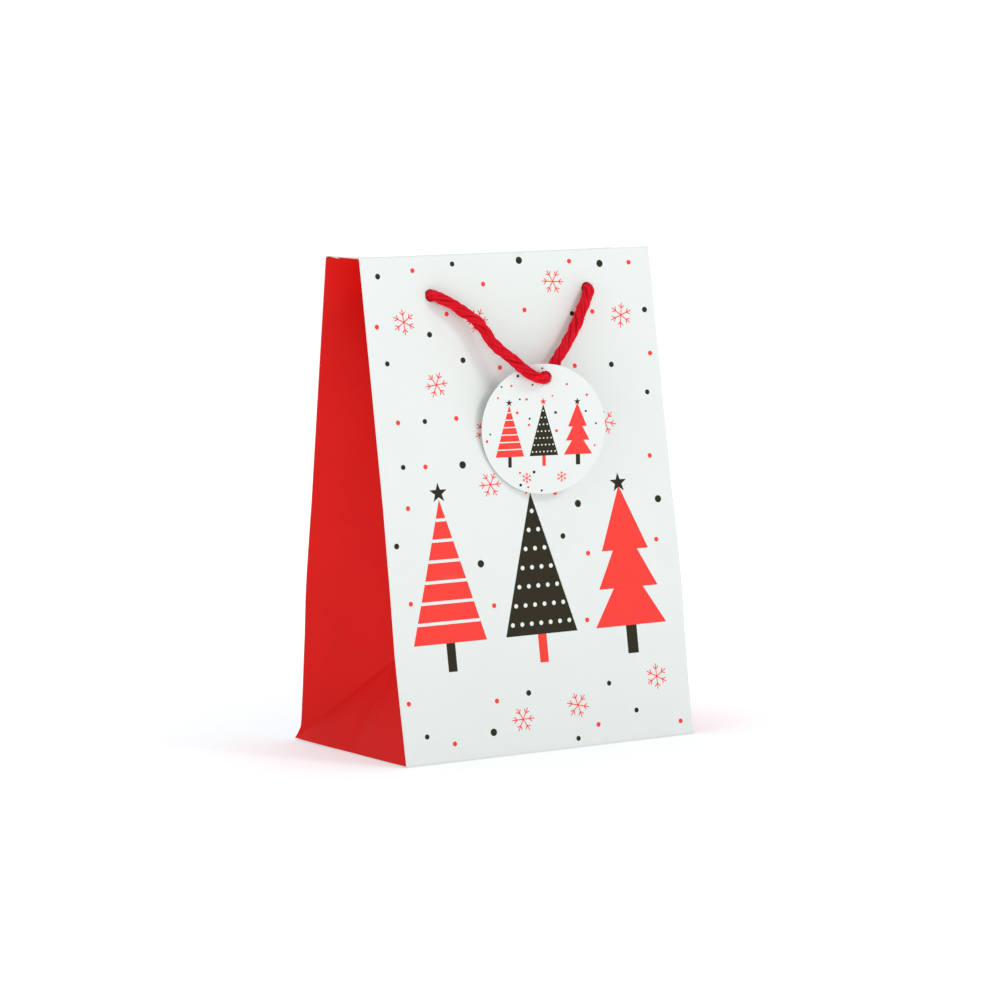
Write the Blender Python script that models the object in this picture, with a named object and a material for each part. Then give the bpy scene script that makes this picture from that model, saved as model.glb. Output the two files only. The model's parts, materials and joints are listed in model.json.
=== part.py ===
"""Paper gift bag with a gusset on each side, a rope handle on each wall and a round gift tag.

The bag stands on the plane z = 0, with its front wall towards -Y and +X to the right of
someone who faces the front. The origin is the centre of the base's underside.

A point on a wall is given by x, by `up`, its distance up the wall from the bottom fold,
and by `inward`, its depth behind the wall's outer face (negative in front of it).
"""
import math

import bmesh
import bpy
from mathutils import Matrix, Vector

# Driving dimensions, in metres
WIDTH = 0.162            # across the front wall
DEPTH = 0.104            # across the base, front to back
WALL_LENGTH = 0.240      # from the bottom fold to the mouth, along the wall
MOUTH_DEPTH = 0.030      # between the two walls at the mouth
PAPER = 0.0004           # thickness of each paper layer
CARD = 0.0008            # thickness of the reinforcement strips and of the tag
BOARD = 0.0010           # thickness of the base board
GAP = 0.0003             # clearance between touching layers
HEM = 0.036              # height of the folded hem at the mouth
ROPE_RADIUS = 0.0027
HOLE_RADIUS = 0.0031     # punched holes in the walls
HOLE_X = 0.044           # half the distance between a wall's two holes
HOLE_UP = 0.2207         # height of the holes up the wall
KNOT_RADIUS = 0.0044
TAG_RADIUS = 0.0312
TAG_HOLE_RADIUS = 0.0043
TAG_HOLE_X = 0.0011      # the tag's hole, from the middle of the tag
TAG_HOLE_Z = 0.0244
TAG_TURN = math.radians(13)
TAG_HOLE_ON_WALL = (0.0064, 0.1775, -0.0142)   # x, up, inward

# The front handle's rope, as (x, up, distance in front of the wall)
FRONT_ROUTE = (
    (-0.0440, 0.2207, 0.0033), (-0.0383, 0.2173, 0.0044), (-0.0312, 0.2126, 0.0056),
    (-0.0254, 0.2079, 0.0068), (-0.0216, 0.2030, 0.0080), (-0.0182, 0.1966, 0.0094),
    (-0.0133, 0.1906, 0.0115), (-0.0086, 0.1855, 0.0140), (-0.0047, 0.1814, 0.0157),
    (-0.0010, 0.1784, 0.0169), (0.0031, 0.1771, 0.0168), (0.0064, 0.1775, 0.0142),
    (0.0091, 0.1792, 0.0107), (0.0144, 0.1826, 0.0087), (0.0190, 0.1870, 0.0076),
    (0.0236, 0.1920, 0.0070), (0.0286, 0.1978, 0.0062), (0.0340, 0.2052, 0.0052),
    (0.0392, 0.2132, 0.0041), (0.0440, 0.2207, 0.0033),
)
# Half of the back handle's rope, from its hole to the middle
BACK_ROUTE = (
    (-0.0440, 0.2207, 0.0033), (-0.0412, 0.2080, 0.0040), (-0.0350, 0.1955, 0.0044),
    (-0.0260, 0.1845, 0.0046), (-0.0140, 0.1768, 0.0047), (0.0, 0.1742, 0.0048),
)
ROUTE_STEPS = 2          # rope points between two points of a route

HALF_WIDTH = WIDTH / 2
HALF_DEPTH = DEPTH / 2
LEAN = HALF_DEPTH - MOUTH_DEPTH / 2
RISE = math.sqrt(WALL_LENGTH ** 2 - LEAN ** 2)
FRONT, BACK = -1, 1
LEFT, RIGHT = -1, 1

# Depths of the layers of a wall, behind its outer face
PANEL_LAYER = (0.0, PAPER)
CARD_LAYER = (PAPER + GAP, PAPER + GAP + CARD)
HEM_LAYER = (CARD_LAYER[1] + GAP, CARD_LAYER[1] + GAP + PAPER)
PANEL_FOOT = 0.0008      # the wall starts this far up, above the bottom flaps
HEM_HALF_WIDTH = 0.070   # the hem and its card stop short of the gussets

# Heights of the layers of the base
FLAP_LAYER = (0.0, PAPER)
OVERLAP_LAYER = (PAPER + GAP, 2 * PAPER + GAP)
TUCK_LAYER = (OVERLAP_LAYER[1] + GAP, OVERLAP_LAYER[1] + GAP + PAPER)
BOARD_LAYER = (TUCK_LAYER[1] + GAP, TUCK_LAYER[1] + GAP + BOARD)
GUSSET_X = HALF_WIDTH - 0.0004
GUSSET_DEPTH = 0.0009    # of the gusset's edge behind the wall's outer face
GUSSET_ROWS = 16         # steps up a gusset
GUSSET_HEM_ROWS = 3      # steps that its hem takes
GUSSET_COLUMNS = 4       # steps from a gusset's crease to its edge
CREASE_GAP = 0.0012      # between the gusset and its base triangle


def new_material(name, colour, roughness):
    material = bpy.data.materials.new(name)
    material.use_nodes = True
    shader = material.node_tree.nodes["Principled BSDF"]
    shader.inputs["Base Color"].default_value = (*colour, 1.0)
    shader.inputs["Roughness"].default_value = roughness
    shader.inputs["Metallic"].default_value = 0.0
    return material


PAPER_WHITE = ((0.80, 0.83, 0.80), 0.45)
PAPER_RED = ((0.62, 0.015, 0.012), 0.40)
PAPER_INSIDE = ((0.78, 0.78, 0.76), 0.70)
GREY_CARD = ((0.55, 0.52, 0.47), 0.85)
ROPE_RED = ((0.66, 0.01, 0.03), 0.90)


def mesh_object(name, mesh, look):
    thing = bpy.data.objects.new(name, mesh)
    bpy.context.scene.collection.objects.link(thing)
    thing.data.materials.append(new_material(name, *look))
    return thing


def solid_from_bmesh(name, shape, look):
    bmesh.ops.recalc_face_normals(shape, faces=shape.faces)
    mesh = bpy.data.meshes.new(name)
    shape.to_mesh(mesh)
    shape.free()
    return mesh_object(name, mesh, look)


def on_wall(side, x, up, inward):
    """A point on the front (side -1) or back (side 1) wall."""
    share = up / WALL_LENGTH
    y = HALF_DEPTH - LEAN * share - inward * RISE / WALL_LENGTH
    z = RISE * share - inward * LEAN / WALL_LENGTH
    return Vector((x, side * y, z))


def inward_axis(side):
    """The direction from a wall's outer face into the bag."""
    return Vector((0, -side * RISE, -LEAN)) / WALL_LENGTH


def sheet_solid(name, one_face, other_face, look):
    """A closed sheet between two grids of points with the same rows and columns."""
    rows, columns = len(one_face), len(one_face[0])
    shape = bmesh.new()
    grids = [[[shape.verts.new(p) for p in row] for row in grid] for grid in (one_face, other_face)]
    for grid in grids:
        for r in range(rows - 1):
            for c in range(columns - 1):
                shape.faces.new((grid[r][c], grid[r][c + 1], grid[r + 1][c + 1], grid[r + 1][c]))
    rim = [(0, c) for c in range(columns)]
    rim += [(r, columns - 1) for r in range(1, rows)]
    rim += [(rows - 1, c) for c in range(columns - 2, -1, -1)]
    rim += [(r, 0) for r in range(rows - 2, 0, -1)]
    for here, there in zip(rim, rim[1:] + rim[:1]):
        corners = [grids[0][here[0]][here[1]], grids[0][there[0]][there[1]],
                   grids[1][there[0]][there[1]], grids[1][here[0]][here[1]]]
        shape.faces.new(corners)
    return solid_from_bmesh(name, shape, look)


def wall_sheet(name, side, xs, ups, layer, look):
    faces = [[[on_wall(side, x, up, inward) for x in xs] for up in ups] for inward in layer]
    return sheet_solid(name, faces[0], faces[1], look)


def prism(name, outline, layer, look):
    """A flat plate with the given outline in x and y, between two heights."""
    shape = bmesh.new()
    rings = [[shape.verts.new((x, y, z)) for x, y in outline] for z in layer]
    for ring in rings:
        shape.faces.new(ring)
    for i in range(len(outline)):
        j = (i + 1) % len(outline)
        shape.faces.new((rings[0][i], rings[0][j], rings[1][j], rings[1][i]))
    return solid_from_bmesh(name, shape, look)


def cylinder_cutter(name, centre, axis, radius, length):
    shape = bmesh.new()
    turn = Vector((0, 0, 1)).rotation_difference(axis).to_matrix().to_4x4()
    bmesh.ops.create_cone(shape, cap_ends=True, segments=24, radius1=radius, radius2=radius,
                          depth=length, matrix=Matrix.Translation(centre) @ turn)
    cutter = solid_from_bmesh(name, shape, GREY_CARD)
    cutter.hide_render = True
    cutter.display_type = 'WIRE'
    return cutter


def cut(thing, cutter):
    boolean = thing.modifiers.new(cutter.name, 'BOOLEAN')
    boolean.operation = 'DIFFERENCE'
    boolean.solver = 'EXACT'
    boolean.object = cutter


def turned_solid(name, origin, axis, profile, look, sides=16):
    """A closed turned shape; the profile is (distance along the axis, radius), tip to tip."""
    shape = bmesh.new()
    turn = Vector((0, 0, 1)).rotation_difference(axis).to_matrix()

    def place(along, radius, angle):
        local = Vector((radius * math.cos(angle), radius * math.sin(angle), along))
        return shape.verts.new(origin + turn @ local)

    first = place(profile[0][0], 0, 0)
    last = place(profile[-1][0], 0, 0)
    rings = [[place(along, radius, 2 * math.pi * i / sides) for i in range(sides)]
             for along, radius in profile]
    for i in range(sides):
        j = (i + 1) % sides
        shape.faces.new((first, rings[0][j], rings[0][i]))
        shape.faces.new((last, rings[-1][i], rings[-1][j]))
        for low, high in zip(rings, rings[1:]):
            shape.faces.new((low[i], low[j], high[j], high[i]))
    thing = solid_from_bmesh(name, shape, look)
    thing.data.shade_smooth()
    return thing


def smooth_route(points, steps):
    """Points along a Catmull-Rom curve through the given points."""
    padded = [2 * points[0] - points[1], *points, 2 * points[-1] - points[-2]]
    route = []
    for i in range(1, len(padded) - 2):
        before, start, end, after = padded[i - 1:i + 3]
        for k in range(steps):
            t = k / steps
            route.append(0.5 * (2 * start + (end - before) * t
                                + (2 * before - 5 * start + 4 * end - after) * t ** 2
                                + (3 * start - before - 3 * end + after) * t ** 3))
    route.append(points[-1])
    return route


def rope(name, points, look):
    curve = bpy.data.curves.new(name, 'CURVE')
    curve.dimensions = '3D'
    curve.bevel_depth = ROPE_RADIUS
    curve.bevel_resolution = 2
    curve.use_fill_caps = True
    spline = curve.splines.new('POLY')
    spline.points.add(len(points) - 1)
    for target, point in zip(spline.points, points):
        target.co = (*point, 1.0)
    return mesh_object(name, curve, look)


def pivot(name, place):
    """An empty on a joint's axis."""
    empty = bpy.data.objects.new(name, None)
    empty.location = place
    bpy.context.scene.collection.objects.link(empty)
    return empty


def hang(things, empty, place):
    """Parent things to an empty at a place, and keep them where they are."""
    for thing in things:
        thing.parent = empty
        thing.matrix_parent_inverse = Matrix.Translation(place).inverted()


def wall_parts(side, word):
    """One wall: its outer paper, card strip and hem, all punched for the rope."""
    edge = HALF_WIDTH
    panel = wall_sheet(word + "_panel", side, (-edge, edge), (PANEL_FOOT, WALL_LENGTH),
                       PANEL_LAYER, PAPER_WHITE)
    hem_xs = (-HEM_HALF_WIDTH, HEM_HALF_WIDTH)
    card = wall_sheet(word + "_reinforcement", side, hem_xs,
                      (WALL_LENGTH - HEM + 0.003, WALL_LENGTH - 0.0015), CARD_LAYER, GREY_CARD)
    hem = wall_sheet(word + "_hem", side, hem_xs, (WALL_LENGTH - HEM, WALL_LENGTH),
                     HEM_LAYER, PAPER_INSIDE)
    ends = []
    for hand, hand_word in ((LEFT, "left"), (RIGHT, "right")):
        hole = on_wall(side, hand * HOLE_X, HOLE_UP, 0)
        axis = inward_axis(side)
        cutter = cylinder_cutter(f"{word}_{hand_word}_hole", hole, axis, HOLE_RADIUS, 0.02)
        for layer in (panel, card, hem):
            cut(layer, cutter)
        ends.append(rope_end(f"{word}_{hand_word}_rope_knot", hole, axis))
    return [panel, card, hem, *ends]


def rope_end(name, hole, axis):
    """The rope where it passes through the wall, with the stopper knot behind it."""
    knot = HEM_LAYER[1] + GAP
    profile = ((-GAP, ROPE_RADIUS), (knot, ROPE_RADIUS), (knot + 0.0006, 0.8 * KNOT_RADIUS),
               (knot + 0.0022, KNOT_RADIUS), (knot + 0.0044, KNOT_RADIUS),
               (knot + 0.0060, 0.8 * KNOT_RADIUS), (knot + 0.0067, 0.6 * KNOT_RADIUS),
               (knot + 0.0076, 0.5 * KNOT_RADIUS))
    return turned_solid(name, hole, axis, profile, ROPE_RED)


def apex_of_gusset():
    """The gusset's lowest crease point: how far in and how high it stands.

    The base triangle is half a square of the base's depth, and the paper between its
    apex and the wall's top corner keeps its flat length.
    """
    flat = (WALL_LENGTH - HALF_DEPTH) ** 2 + HALF_DEPTH ** 2
    half_mouth = MOUTH_DEPTH / 2
    height = (HALF_DEPTH ** 2 + half_mouth ** 2 + RISE ** 2 - flat) / (2 * RISE)
    return math.sqrt(HALF_DEPTH ** 2 - height ** 2), height


def top_of_gusset():
    """Where the gusset's centre crease meets the mouth, found from its two flat lengths."""
    half_mouth = MOUTH_DEPTH / 2
    inset, height = apex_of_gusset()
    reach = math.sqrt(HALF_DEPTH ** 2 - half_mouth ** 2)
    drop = 0.0
    for _ in range(40):
        across = math.sqrt(reach ** 2 - drop ** 2)
        crease = math.sqrt((WALL_LENGTH - HALF_DEPTH) ** 2 - (across - inset) ** 2)
        drop = RISE - height - crease
    return math.sqrt(reach ** 2 - drop ** 2), RISE - drop


def gusset_grid(hand, widths, shares, offset):
    """A grid of points on a gusset; widths run from -1 (front edge) to 1 (back edge)."""
    low_in, low_z = apex_of_gusset()
    top_in, top_z = top_of_gusset()
    low_z += CREASE_GAP
    inner_x = Vector((-hand, 0, 0))
    grid = []
    for share in shares:
        crease = Vector((hand * (GUSSET_X - low_in - (top_in - low_in) * share), 0,
                         low_z + (top_z - low_z) * share))
        row = []
        for width in widths:
            side = FRONT if width < 0 else BACK
            edge_up = 0.0045 + (WALL_LENGTH - 0.0045) * share
            edge = on_wall(side, hand * GUSSET_X, edge_up, GUSSET_DEPTH)
            across = (edge - crease).normalized()
            along = on_wall(side, 0, 1, 0) - on_wall(side, 0, 0, 0)
            normal = across.cross(along).normalized()
            if normal.y * side < 0:
                normal.negate()
            if width == 0:
                place = crease + inner_x * (offset / abs(normal.x))
            else:
                place = crease.lerp(edge, abs(width)) + normal * offset
            row.append(place)
        grid.append(row)
    return grid


def gusset_sheet(name, hand, columns, first_row, layer, look):
    widths = [c / GUSSET_COLUMNS for c in range(-columns, columns + 1)]
    shares = [r / GUSSET_ROWS for r in range(first_row, GUSSET_ROWS + 1)]
    faces = [gusset_grid(hand, widths, shares, offset) for offset in layer]
    return sheet_solid(name, faces[0], faces[1], look)


def base_triangle(name, hand):
    """The leaning triangle at the foot of a gusset."""
    inset, height = apex_of_gusset()
    foot = BOARD_LAYER[0]
    lean = inset / height
    normal = Vector((-hand * height, 0, -inset)).normalized()
    corners = [Vector((hand * GUSSET_X, -HALF_DEPTH + 0.0025, foot)),
               Vector((hand * GUSSET_X, HALF_DEPTH - 0.0025, foot)),
               Vector((hand * (GUSSET_X - (height - foot) * lean), 0, height - 0.0008))]
    shape = bmesh.new()
    rings = [[shape.verts.new(p + normal * d) for p in corners] for d in (0, PAPER)]
    for ring in rings:
        shape.faces.new(ring)
    for i in range(len(corners)):
        j = (i + 1) % len(corners)
        shape.faces.new((rings[0][i], rings[0][j], rings[1][j], rings[1][i]))
    return solid_from_bmesh(name, shape, PAPER_RED)


def base_parts():
    """The folded and glued base, with the loose board on it."""
    edge = HALF_WIDTH - GAP
    deep = HALF_DEPTH - GAP
    join = -0.008            # y of the back flap's free edge
    overlap = 0.014          # y of the front flap's free edge
    slope = 0.0018           # where the front flap climbs over the back flap
    prism("back_bottom_flap", ((-edge, join), (edge, join), (edge, deep), (-edge, deep)),
          FLAP_LAYER, PAPER_WHITE)
    step = ((-deep, 0), (join - GAP - slope, 0), (join - GAP, 1), (overlap, 1))
    layers = (FLAP_LAYER, OVERLAP_LAYER)
    faces = [[[(x, y, layers[level][face]) for x in (-edge, edge)] for y, level in step]
             for face in (0, 1)]
    sheet_solid("front_bottom_flap", faces[0], faces[1], PAPER_WHITE)
    tuck_reach = 0.036
    for hand, word in ((LEFT, "left"), (RIGHT, "right")):
        outer = hand * (HALF_WIDTH - 2 * GAP)
        inner = hand * (HALF_WIDTH - tuck_reach)
        wide = HALF_DEPTH - 0.0015
        outline = ((outer, -wide), (outer, wide), (inner, wide - tuck_reach),
                   (inner, -wide + tuck_reach))
        prism(word + "_bottom_tuck", outline, TUCK_LAYER, PAPER_RED)
        base_triangle(word + "_base_triangle", hand)
    board_x = 0.0780
    board_y = 0.0500
    prism("base_board", ((-board_x, -board_y), (board_x, -board_y),
                         (board_x, board_y), (-board_x, board_y)), BOARD_LAYER, GREY_CARD)


def gusset_parts():
    hem_row = GUSSET_ROWS - GUSSET_HEM_ROWS
    body_layer = (-PAPER / 2, PAPER / 2)
    hem_layer = (PAPER / 2 + GAP, 3 * PAPER / 2 + GAP)
    for hand, word in ((LEFT, "left"), (RIGHT, "right")):
        gusset_sheet(word + "_gusset", hand, GUSSET_COLUMNS, 0, body_layer, PAPER_RED)
        gusset_sheet(word + "_gusset_hem", hand, GUSSET_COLUMNS - 1, hem_row, hem_layer,
                     PAPER_INSIDE)


def gift_tag(hole):
    """The round tag, hanging plumb, turned a little to the bag's left."""
    right = Vector((math.cos(TAG_TURN), -math.sin(TAG_TURN), 0))
    facing = Vector((-math.sin(TAG_TURN), -math.cos(TAG_TURN), 0))
    centre = hole - right * TAG_HOLE_X - Vector((0, 0, TAG_HOLE_Z))
    turn = Vector((0, 0, 1)).rotation_difference(facing).to_matrix().to_4x4()
    shape = bmesh.new()
    bmesh.ops.create_cone(shape, cap_ends=True, segments=64, radius1=TAG_RADIUS,
                          radius2=TAG_RADIUS, depth=CARD,
                          matrix=Matrix.Translation(centre) @ turn)
    tag = solid_from_bmesh("gift_tag", shape, PAPER_WHITE)
    cut(tag, cylinder_cutter("tag_hole", hole, facing, TAG_HOLE_RADIUS, 0.01))
    return tag


def build():
    for old in list(bpy.data.objects):
        bpy.data.objects.remove(old, do_unlink=True)

    base_parts()
    gusset_parts()
    front = wall_parts(FRONT, "front")
    back = wall_parts(BACK, "back")
    back.append(wall_sheet("glue_flap", BACK, (0.066, 0.0785), (0.006, WALL_LENGTH - HEM - 0.002),
                           CARD_LAYER, PAPER_RED))

    front_route = [on_wall(FRONT, x, up, -out) for x, up, out in FRONT_ROUTE]
    half = [on_wall(BACK, x, up, -out) for x, up, out in BACK_ROUTE]
    back_route = half + [Vector((-p.x, p.y, p.z)) for p in reversed(half[:-1])]
    front_rope = rope("front_handle_rope", smooth_route(front_route, ROUTE_STEPS), ROPE_RED)
    back_rope = rope("back_handle_rope", smooth_route(back_route, ROUTE_STEPS), ROPE_RED)
    tag_hole = on_wall(FRONT, *TAG_HOLE_ON_WALL)
    tag = gift_tag(tag_hole)

    swing_out = -FRONT_ROUTE[0][2]
    for side, word, wall, handle in ((FRONT, "front", front, front_rope),
                                     (BACK, "back", back, back_rope)):
        fold = Vector((0, side * HALF_DEPTH, 0))
        hang(wall, pivot(word + "_wall_fold", fold), fold)
        swing = on_wall(side, 0, HOLE_UP, swing_out)
        hang([handle], pivot(word + "_handle_swing", swing), swing)
    hang([tag], pivot("tag_hang", tag_hole), tag_hole)


build()
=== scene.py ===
"""The looks of a paper gift bag: folded printed paper, twisted rope handles and a round tag.

Everything is in metres. A point on a wall is given by x, by `up`, its distance up the wall
from the bottom fold, and by `inward`, its depth behind the wall's outer face.
"""
import json
import math
import random

import bmesh
import bpy
import numpy as np
from mathutils import Matrix, Vector, geometry, noise


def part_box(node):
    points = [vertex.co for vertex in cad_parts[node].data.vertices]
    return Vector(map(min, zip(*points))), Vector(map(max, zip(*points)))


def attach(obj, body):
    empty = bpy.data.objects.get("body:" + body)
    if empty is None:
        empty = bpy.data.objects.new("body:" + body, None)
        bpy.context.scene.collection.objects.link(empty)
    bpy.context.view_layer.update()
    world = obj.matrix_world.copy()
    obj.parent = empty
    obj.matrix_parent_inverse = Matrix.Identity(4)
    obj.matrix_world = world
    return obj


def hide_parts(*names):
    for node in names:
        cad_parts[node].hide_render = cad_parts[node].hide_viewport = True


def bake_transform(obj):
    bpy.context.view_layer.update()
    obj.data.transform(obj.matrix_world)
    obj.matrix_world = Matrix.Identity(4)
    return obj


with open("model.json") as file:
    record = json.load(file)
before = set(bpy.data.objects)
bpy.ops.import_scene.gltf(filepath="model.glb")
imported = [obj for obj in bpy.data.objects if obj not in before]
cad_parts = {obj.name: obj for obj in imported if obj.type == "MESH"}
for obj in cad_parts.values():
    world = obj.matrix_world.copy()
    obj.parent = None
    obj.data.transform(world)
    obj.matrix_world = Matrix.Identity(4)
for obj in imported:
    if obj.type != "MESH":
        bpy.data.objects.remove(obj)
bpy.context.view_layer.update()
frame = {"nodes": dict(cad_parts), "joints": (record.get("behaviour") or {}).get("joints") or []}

# ---------------------------------------------------------------- sizes read from the frame
FRONT, BACK = -1, 1
LEFT, RIGHT = -1, 1
SIDES = {FRONT: "front", BACK: "back"}
HANDS = {LEFT: "left", RIGHT: "right"}
joint_at = {j["name"]: Vector(j["pos_m"]) for j in frame["joints"]}
panel_low, panel_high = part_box("front_panel")
cad_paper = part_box("back_bottom_flap")[1].z
HALF_WIDTH = panel_high.x
HALF_DEPTH = -joint_at["mouth_open"].y
RISE = panel_high.z
HALF_MOUTH = cad_paper - panel_high.y
LEAN = HALF_DEPTH - HALF_MOUTH
WALL_LENGTH = math.hypot(RISE, LEAN)
UP_WALL = Vector((0, LEAN, RISE)) / WALL_LENGTH          # up the front wall
knot_low, knot_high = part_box("front_right_rope_knot")
HOLE_X = (knot_low.x + knot_high.x) / 2
HOLE_UP = (joint_at["front_handle_swing"] - joint_at["mouth_open"]).dot(UP_WALL)
BOARD_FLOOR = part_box("base_board")[0].z

# ---------------------------------------------------------------- sizes of the looks
PAPER = 0.0003
HEM = 0.036
HEM_FOLD = 0.0012        # radius of the fold at a wall's mouth
GUSSET_FOLD = 0.0005
HEM_HALF_WIDTH = 0.0740
HOLE_RADIUS = 0.0031
EDGE_ROUND = 0.0016      # width of the rounding along a wall's side folds
EDGE_LIFT = {FRONT: 0.0014, BACK: 0.0016}          # how far the side folds are pushed out
EDGE_LIFT_TILT = {FRONT: 0.0007, BACK: -0.0005}    # and how much more at the right
CARD_LAYER = 0.0007      # the card strip's depth behind the wall's face
CARD_THICKNESS = 0.0007
GRID = 0.0045            # spacing of the points on a printed sheet
ROPE_WIDTH = 0.0057
ROPE_STRANDS = 8
ROPE_FIBRES = 900        # loose fibres on a handle's rope
KNOT_ROPE_WIDTH = 0.0036
KNOT_FIBRES = 90
KNOT_SIZE = 0.00088      # a third of the reach of the knot's lobes
KNOT_SET_BACK = 0.0016   # how far the knot sits behind its CAD solid's middle
TAG_THICKNESS = 0.0005
TAG_HOLE_RADIUS = 0.0034
TAG_TURN = math.radians(13)
TAG_SCALE = 0.40         # of the print on the tag, from the print on the wall
TOP_DROP = {LEFT: 0.0003, RIGHT: 0.0020}   # how far a gusset stops short of the mouth
UNDERLAP = 0.008         # gusset paper that runs on behind the base fold
FOOT_SPRING = {LEFT: 0.047, RIGHT: 0.024}  # how far the foot's corners spring out, as shares of x
MOUTH_DIP = 0.0013       # how far the back wall's mouth sags beyond its left corner

# The front handle's route, as (x, up, distance in front of the wall)
FRONT_ROUTE = (
    (-0.0440, 0.2207, -0.0034), (-0.0440, 0.2207, 0.0002), (-0.0428, 0.2200, 0.0031),
    (-0.0383, 0.2173, 0.0044), (-0.0312, 0.2126, 0.0056),
    (-0.0254, 0.2079, 0.0068), (-0.0216, 0.2030, 0.0080), (-0.0182, 0.1966, 0.0094),
    (-0.0133, 0.1906, 0.0115), (-0.0086, 0.1855, 0.0140), (-0.0047, 0.1814, 0.0157),
    (-0.0010, 0.1784, 0.0169), (0.0031, 0.1771, 0.0168), (0.0064, 0.1775, 0.0142),
    (0.0091, 0.1792, 0.0107), (0.0144, 0.1826, 0.0087), (0.0190, 0.1870, 0.0076),
    (0.0236, 0.1920, 0.0070), (0.0286, 0.1978, 0.0062), (0.0340, 0.2052, 0.0052),
    (0.0396, 0.2140, 0.0042), (0.0430, 0.2192, 0.0032), (0.0440, 0.2207, 0.0002),
    (0.0440, 0.2207, -0.0034),
)
# Half of the back handle's route, from its hole to the middle
BACK_ROUTE = (
    (-0.0440, 0.2207, -0.0034), (-0.0440, 0.2207, 0.0002), (-0.0436, 0.2186, 0.0033),
    (-0.0412, 0.2080, 0.0040), (-0.0350, 0.1955, 0.0044),
    (-0.0260, 0.1845, 0.0046), (-0.0140, 0.1768, 0.0047), (0.0, 0.1742, 0.0048),
)


# ---------------------------------------------------------------- camera, floor and light
def aim_camera():
    """A long lens from the front left, a little above the mouth."""
    azimuth, elevation, roll = (math.radians(a) for a in (-31.5, 6.07, -0.84))
    distance = 1.8915
    target = Vector((0.0040, 0.0, 0.1159))
    back = Vector((math.sin(azimuth) * math.cos(elevation),
                   -math.cos(azimuth) * math.cos(elevation), math.sin(elevation)))
    across = Vector((0, 0, 1)).cross(back).normalized()
    over = back.cross(across)
    right = across * math.cos(roll) + over * math.sin(roll)
    over = over * math.cos(roll) - across * math.sin(roll)
    turn = Matrix((right, over, back)).transposed().to_4x4()
    data = bpy.data.cameras.new("camera")
    data.sensor_width = 36.0
    data.lens = 139.87
    camera = bpy.data.objects.new("camera", data)
    camera.matrix_world = Matrix.Translation(target + back * distance) @ turn
    bpy.context.scene.collection.objects.link(camera)
    bpy.context.scene.camera = camera


def area_light(name, place, target, size, power, colour):
    data = bpy.data.lights.new(name, 'AREA')
    data.shape = 'DISK'
    data.size = size
    data.energy = power
    data.color = colour
    light = bpy.data.objects.new(name, data)
    light.location = place
    light.rotation_euler = (Vector(target) - Vector(place)).to_track_quat('-Z', 'Y').to_euler()
    bpy.context.scene.collection.objects.link(light)


def build_studio():
    scene = bpy.context.scene
    scene.view_settings.view_transform = 'Standard'
    world = bpy.data.worlds.new("studio")
    world.use_nodes = True
    nodes, links = world.node_tree.nodes, world.node_tree.links
    nodes.clear()
    output = nodes.new("ShaderNodeOutputWorld")
    mix = nodes.new("ShaderNodeMixShader")
    path = nodes.new("ShaderNodeLightPath")
    glow = nodes.new("ShaderNodeBackground")
    glow.inputs["Color"].default_value = (0.90, 0.95, 1.0, 1.0)
    glow.inputs["Strength"].default_value = 0.56
    seen = nodes.new("ShaderNodeBackground")
    seen.inputs["Color"].default_value = (1.0, 1.0, 1.0, 1.0)
    seen.inputs["Strength"].default_value = 1.05
    links.new(path.outputs["Is Camera Ray"], mix.inputs[0])
    links.new(glow.outputs[0], mix.inputs[1])
    links.new(seen.outputs[0], mix.inputs[2])
    links.new(mix.outputs[0], output.inputs["Surface"])
    scene.world = world

    middle = (0, 0, 0.1)
    area_light("key", (1.28, -2.12, 1.90), middle, 0.76, 18.0, (1.0, 0.985, 0.96))
    area_light("low_fill", (0.3, -2.6, 0.15), (0, 0, 0.06), 1.4, 8.0, (1.0, 0.99, 0.97))
    area_light("left_fill", (-2.25, -0.52, 0.78), middle, 1.35, 5.6, (1.0, 0.98, 0.96))
    area_light("top", (0.0, 0.5, 2.66), middle, 2.1, 20.0, (1.0, 1.0, 1.0))

    bpy.ops.mesh.primitive_plane_add(size=60.0, location=(0, 0, -0.0002))
    floor = bpy.context.object
    floor.name = "floor"
    floor.data.materials.append(floor_material())


def floor_material():
    """White, and glowing more with distance from the bag so that it stays white."""
    material = plain_material("floor_white", (0.74, 0.77, 0.79), 0.9, 0.0)
    nodes, links = material.node_tree.nodes, material.node_tree.links
    shader = nodes["Principled BSDF"]
    shader.inputs["Emission Color"].default_value = (1.0, 0.975, 0.95, 1.0)
    distance = nodes.new("ShaderNodeVectorMath")
    distance.operation = 'LENGTH'
    links.new(nodes.new("ShaderNodeTexCoord").outputs["Object"], distance.inputs[0])
    glow = nodes.new("ShaderNodeMapRange")
    glow.inputs["From Min"].default_value = 0.10
    glow.inputs["From Max"].default_value = 0.50
    glow.inputs["To Min"].default_value = 0.34
    glow.inputs["To Max"].default_value = 0.70
    links.new(distance.outputs["Value"], glow.inputs["Value"])
    links.new(glow.outputs["Result"], shader.inputs["Emission Strength"])
    return material


# ---------------------------------------------------------------- materials
def plain_material(name, colour, roughness, specular):
    material = bpy.data.materials.new(name)
    material.use_nodes = True
    shader = material.node_tree.nodes["Principled BSDF"]
    shader.inputs["Base Color"].default_value = (*colour, 1.0)
    shader.inputs["Roughness"].default_value = roughness
    shader.inputs["Specular IOR Level"].default_value = specular
    return material


def noise_node(nodes, scale, detail, roughness=0.5):
    """Noise in the object's own coordinates; scale is in features per metre."""
    node = nodes.new("ShaderNodeTexNoise")
    node.inputs["Scale"].default_value = scale
    node.inputs["Detail"].default_value = detail
    node.inputs["Roughness"].default_value = roughness
    return node


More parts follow.
